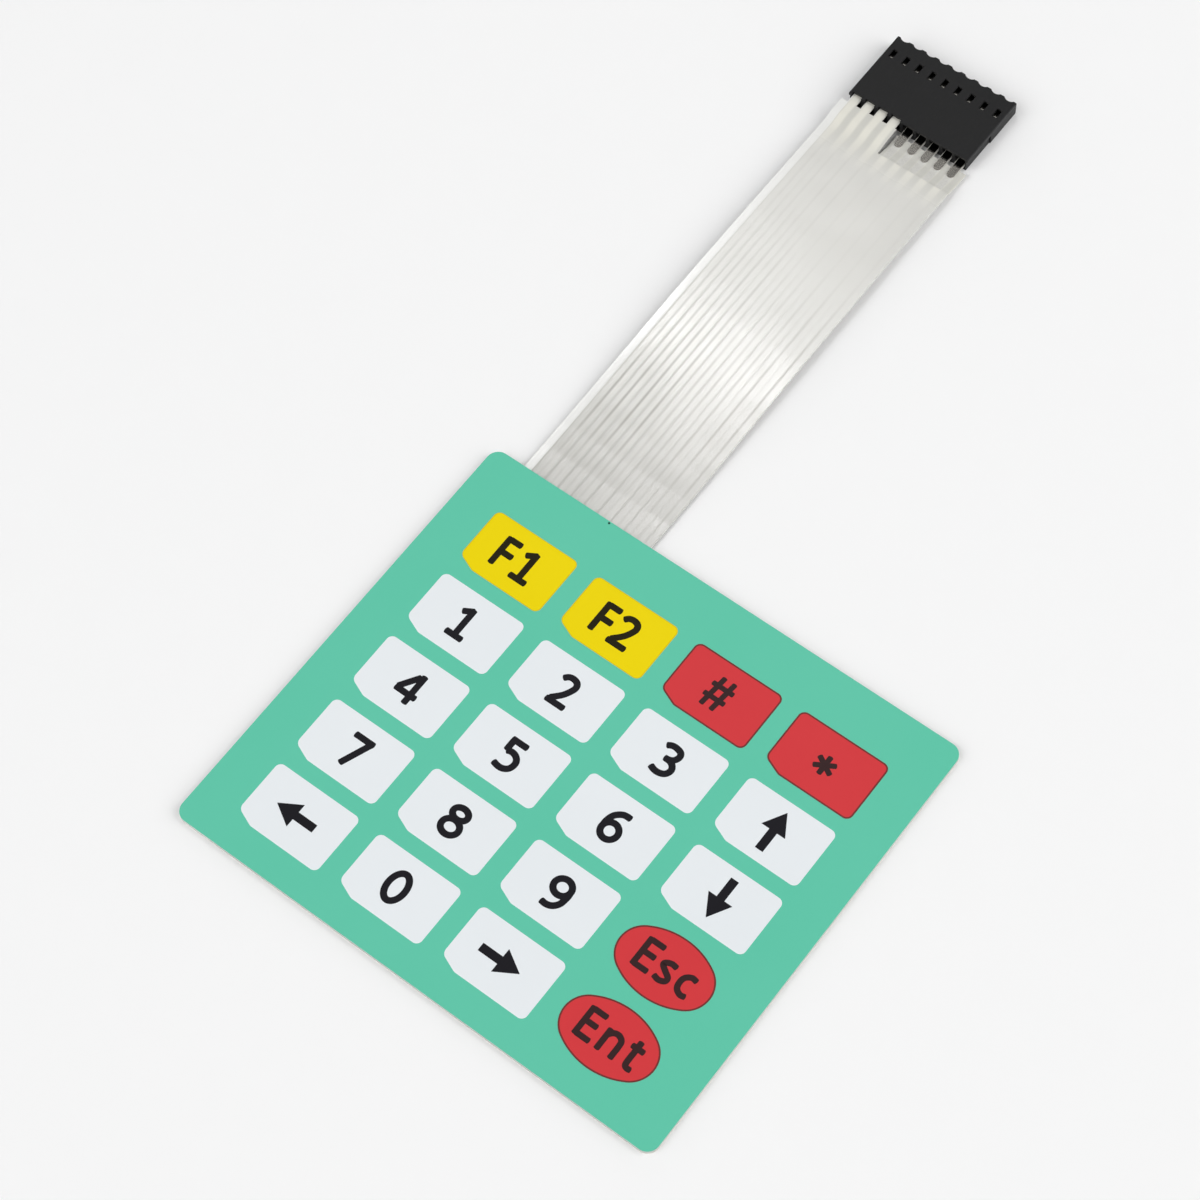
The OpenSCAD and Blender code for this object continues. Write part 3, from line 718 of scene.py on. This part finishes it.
SIGNS = {
    "0": [ring(0, 0, 1.48, 2.35)],
    "1": [
        line((-0.05, 2.8), (-0.05, -2.4)),
        line((0.2, 2.55), (-1.6, 1.5)),
        line((-1.73, -2.4), (1.54, -2.4)),
    ],
    "2": [
        curve((-1.5, 1.55), (-0.85, 2.2), (-0.05, 2.37), (0.75, 2.1), (1.07, 1.4), (0.8, 0.45), (0.1, -0.75),
              (-1.25, -2.15)),
        line((-1.78, -2.37), (1.78, -2.37)),
    ],
    "3": [
        curve((-1.6, 1.85), (-0.9, 2.28), (-0.1, 2.37), (0.85, 2.1), (1.15, 1.4), (0.8, 0.6), (0.1, 0.2),
              (-0.75, 0.13)),
        curve((-0.6, 0.12), (0.5, 0.05), (1.2, -0.45), (1.4, -1.15), (1.0, -1.95), (0.1, -2.33), (-0.8, -2.3),
              (-1.65, -1.98)),
    ],
    "4": [
        line((0.95, 2.78), (0.95, -2.78)),
        line((0.6, 2.3), (-1.6, -1.0)),
        line((-1.9, -1.12), (2.1, -1.12)),
    ],
    "5": [
        line((-1.55, 2.4), (1.5, 2.4)),
        line((-1.05, 2.4), (-1.05, 0.3)),
        curve((-1.05, 0.35), (-0.3, 0.6), (0.5, 0.5), (1.2, -0.05), (1.4, -0.85), (1.1, -1.75), (0.3, -2.28),
              (-0.6, -2.33), (-1.6, -2.1)),
    ],
    "6": [
        ring(-0.05, -0.91, 1.39, 1.37),
        curve((-1.42, -0.9), (-1.4, 0.2), (-1.0, 1.4), (-0.1, 2.2), (0.75, 2.4), (1.5, 2.35)),
    ],
    "7": [
        line((-1.7, 2.33), (2.02, 2.33)),
        line((1.45, 2.2), (-0.6, -2.8)),
    ],
    "8": [
        ring(-0.06, 1.38, 1.28, 0.98),
        ring(-0.08, -1.07, 1.48, 1.28),
    ],
    "9": [
        ring(-0.12, 1.14, 1.45, 1.33),
        curve((1.33, 1.2), (1.36, 0.2), (1.1, -1.15), (0.35, -2.0), (-0.6, -2.3), (-1.62, -2.2)),
    ],
    "F": [
        line((0, 2.85), (0, -2.73)),
        line((0, 2.38), (2.36, 2.38)),
        line((0, -0.05), (2.36, -0.05)),
    ],
    "E": [
        line((0, 2.72), (0, -2.4)),
        line((0, 2.32), (2.54, 2.32)),
        line((0, 0.27), (2.29, 0.27)),
        line((0, -1.99), (2.56, -1.99)),
    ],
    "s": [
        curve((1.54, 0.95), (0.52, 1.09), (-0.38, 0.71), (-0.43, 0.24), (0.43, -0.38), (1.24, -0.95),
              (1.19, -1.62), (0.29, -1.95), (-0.76, -1.71)),
    ],
    "c": [
        curve((1.03, 0.95), (0.04, 1.09), (-0.82, 0.48), (-1.03, -0.48), (-0.77, -1.43), (0.09, -1.95),
              (1.03, -1.8)),
    ],
    "n": [
        line((-0.55, 1.43), (-0.55, -2.42)),
        curve((-0.55, 0.3), (0.1, 1.0), (0.9, 1.15), (1.65, 0.7), (1.83, -0.2), (1.83, -2.42)),
    ],
    "t": [
        curve((0, 2.38), (0, 0.6), (0, -1.2), (0.15, -1.85), (0.65, -2.05), (1.25, -1.95)),
        line((-1.0, 1.14), (1.3, 1.14)),
    ],
    "#": [
        line((-0.62, 2.8), (-1.22, -2.8)),
        line((1.18, 2.8), (0.59, -2.8)),
        line((-1.86, 1.12), (2.06, 1.12)),
        line((-2.02, -0.9), (1.87, -0.9)),
    ],
    "*": [
        line((0, 1.7), (0, -1.7)),
        line((-1.57, 0.9), (1.57, -0.9)),
        line((-1.57, -0.9), (1.57, 0.9)),
    ],
}

# Widths of the signs that are thinner than a digit, and the ways that the arrows point

THIN_STROKES = {**dict.fromkeys("Escnt", LETTER_STROKE), "#": HASH_STROKE, "*": STAR_STROKE}
ARROWS = {"up": (0, 1), "down": (0, -1), "left": (-1, 0), "right": (1, 0)}

# Keys by row and column: the coloured ones, and the signs on each with their place about the key's middle

RED_KEYS = ((0, 2), (0, 3))
OVAL_KEYS = ((3, 3), (4, 3))
YELLOW_KEYS = ((0, 0), (0, 1))
LEGENDS = {
    (0, 0): [("F", -3.25, 0), ("1", 1.9, 0)],
    (0, 1): [("F", -3.3, 0), ("2", 1.4, 0)],
    (0, 2): [("#", -0.4, 0)],
    (0, 3): [("*", -0.05, -0.11)],
    (1, 0): [("1", 0, 0)],
    (1, 1): [("2", 0, 0)],
    (1, 2): [("3", 0, 0)],
    (1, 3): [("up", 0, 0.03)],
    (2, 0): [("4", 0, 0)],
    (2, 1): [("5", 0, 0)],
    (2, 2): [("6", 0, 0)],
    (2, 3): [("down", 0.1, 0.15)],
    (3, 0): [("7", 0, 0)],
    (3, 1): [("8", 0, 0)],
    (3, 2): [("9", 0, 0)],
    (3, 3): [("E", -4.13, 0.05), ("s", 0, 0), ("c", 4.0, 0)],
    (4, 0): [("left", -0.27, -0.03)],
    (4, 1): [("0", -0.4, 0)],
    (4, 2): [("right", -0.5, 0.07)],
    (4, 3): [("E", -4.44, -0.04), ("n", 0, 0), ("t", 4.1, 0)],
}


def sign_strokes(sign):
    """The paths and widths of one sign. An arrow is a straight shaft and a head that narrows to its tip."""
    if sign in ARROWS:
        way = np.array(ARROWS[sign], float)
        neck = ARROW_L / 2 - ARROW_HEAD_L
        shaft = np.array([-ARROW_L / 2, neck])[:, None] * way
        head = np.array([neck, ARROW_L / 2])[:, None] * way
        return [(shaft, ARROW_SHAFT_W), (head, (ARROW_HEAD_W, ARROW_TIP_W))]
    width = THIN_STROKES.get(sign, STROKE)
    strokes = []
    for path in SIGNS[sign]:
        closed = np.allclose(path[0], path[-1])
        strokes.append((path, width) if closed else round_ended(path, width))
    return strokes


def legend_slabs(keys):
    """The slabs of all signs on these keys. Each stroke of a sign stands a little over the one before."""
    slabs = []
    for key in keys:
        for sign, x, y in LEGENDS[key]:
            for step, (path, width) in enumerate(sign_strokes(sign)):
                top = key_top + INK_H + step * INK_STEP
                placed = path + key_centre(*key) + (x, y)
                slabs.append(ribbon(placed, width, key_top - INK_SINK, top))
    return slabs


def rim_slabs(keys, outline, width):
    """The rims round these keys: a flat band of the given width along each one's outline."""
    paths = [outline + key_centre(*key) for key in keys]
    return [ribbon(path, width, key_top - INK_SINK, key_top + TRAP_H) for path in paths]


white_keys = [key for key in LEGENDS if key not in RED_KEYS + OVAL_KEYS + YELLOW_KEYS]
piece("legends_on_white_keys", legend_slabs(white_keys), black_ink)
piece("legends_on_red_keys", legend_slabs(RED_KEYS + OVAL_KEYS), black_on_red)
piece("legends_on_yellow_keys", legend_slabs(YELLOW_KEYS), black_on_yellow)

red_rims = rim_slabs(RED_KEYS, key_outline(), RED_TRAP_W) + rim_slabs(OVAL_KEYS, oval_outline(), RED_TRAP_W)
piece("red_key_rims", red_rims, red_on_green)
piece("yellow_key_rims", rim_slabs(YELLOW_KEYS, key_outline(), YELLOW_TRAP_W), yellow_on_green)
speck = ribbon(*round_ended(line(*SPECK_ENDS), SPECK_W), key_top - INK_SINK, key_top + INK_H)
piece("dirt_speck", [speck], dirt)

# Floor

floor_half = FLOOR_HALF * MM
floor_z = cad_box[0][2] - FLOOR_DROP * MM
floor_corners = [(-1, -1), (1, -1), (1, 1), (-1, 1)]
floor_points = [(x * floor_half, y * floor_half, floor_z) for x, y in floor_corners]
floor_mesh = bpy.data.meshes.new("floor")
floor_mesh.from_pydata(floor_points, [], [(0, 1, 2, 3)])
floor_mesh.materials.append(matt_floor())
floor = bpy.data.objects.new("floor", floor_mesh)
bpy.context.scene.collection.objects.link(floor)

# A plain room: white walls and a dimmer ceiling, the same for every ray

world = bpy.data.worlds.new("white_room")
world.use_nodes = True
world.node_tree.nodes.clear()
seen = add(world.node_tree, "ShaderNodeTexCoord").outputs["Generated"]
rise = add(world.node_tree, "ShaderNodeSeparateXYZ", {0: seen})
level = add(world.node_tree, "ShaderNodeMapRange", {
    "Value": rise.outputs["Z"],
    "From Min": WALL_TOP,
    "From Max": CEILING_EDGE,
    "To Min": WALL_LIGHT,
    "To Max": CEILING_LIGHT,
}, interpolation_type="SMOOTHSTEP")
sky = add(world.node_tree, "ShaderNodeBackground", {"Color": (1, 1, 1, 1), "Strength": level.outputs[0]})
add(world.node_tree, "ShaderNodeOutputWorld", {"Surface": sky.outputs[0]})
bpy.context.scene.world = world


# Lamps and camera

def looking(position, target, roll):
    """Turn and place of a lamp or camera that looks at a target and leans right by the roll in degrees."""
    back = (position - target).normalized()
    side = Vector((0, 0, 1)).cross(back).normalized()
    lean = Matrix.Rotation(np.radians(-roll), 3, "Z")
    turn = Matrix((side, back.cross(side), back)).transposed() @ lean
    return Matrix.Translation(position) @ turn.to_4x4()


def softbox(name, aim, direction, size, distance, share, roll=0):
    """A white rectangle of light that adds this share of full white on a level face at its aim, or less
    if it is wide. Its power is the share times the square of pi times the distance, divided by the upward
    part of its direction."""
    direction = direction.normalized()
    lamp = bpy.data.lights.new(name, "AREA")
    lamp.shape = "RECTANGLE"
    lamp.size, lamp.size_y = size
    lamp.energy = share * (np.pi * distance) ** 2 / direction.z
    box = bpy.data.objects.new(name, lamp)
    box.matrix_world = looking(aim + direction * distance, aim, roll)
    bpy.context.scene.collection.objects.link(box)


azimuth, elevation = np.radians((AZIMUTH, ELEVATION))
flat = np.cos(elevation)
to_camera = Vector((flat * np.sin(azimuth), -flat * np.cos(azimuth), np.sin(elevation)))
target = Vector(TARGET_MM) * MM
camera_place = target + to_camera * DISTANCE_MM * MM
for name, (direction, size, distance, share) in LAMPS.items():
    softbox(name, target, Vector(direction), size, distance, share)
for name, (place_mm, size, share) in GLARES.items():
    place = Vector(place_mm) * MM
    mirrored = (camera_place - place) * Vector((-1, -1, 1))
    softbox(name, place, mirrored, size, GLARE_DISTANCE, share, GLARE_ROLL)

camera_data = bpy.data.cameras.new("camera")
camera_data.lens = LENS
camera_data.sensor_width = SENSOR
camera = bpy.data.objects.new("camera", camera_data)
camera.matrix_world = looking(camera_place, target, ROLL)
bpy.context.scene.collection.objects.link(camera)
bpy.context.scene.camera = camera
bpy.context.scene.view_settings.view_transform = "Standard"
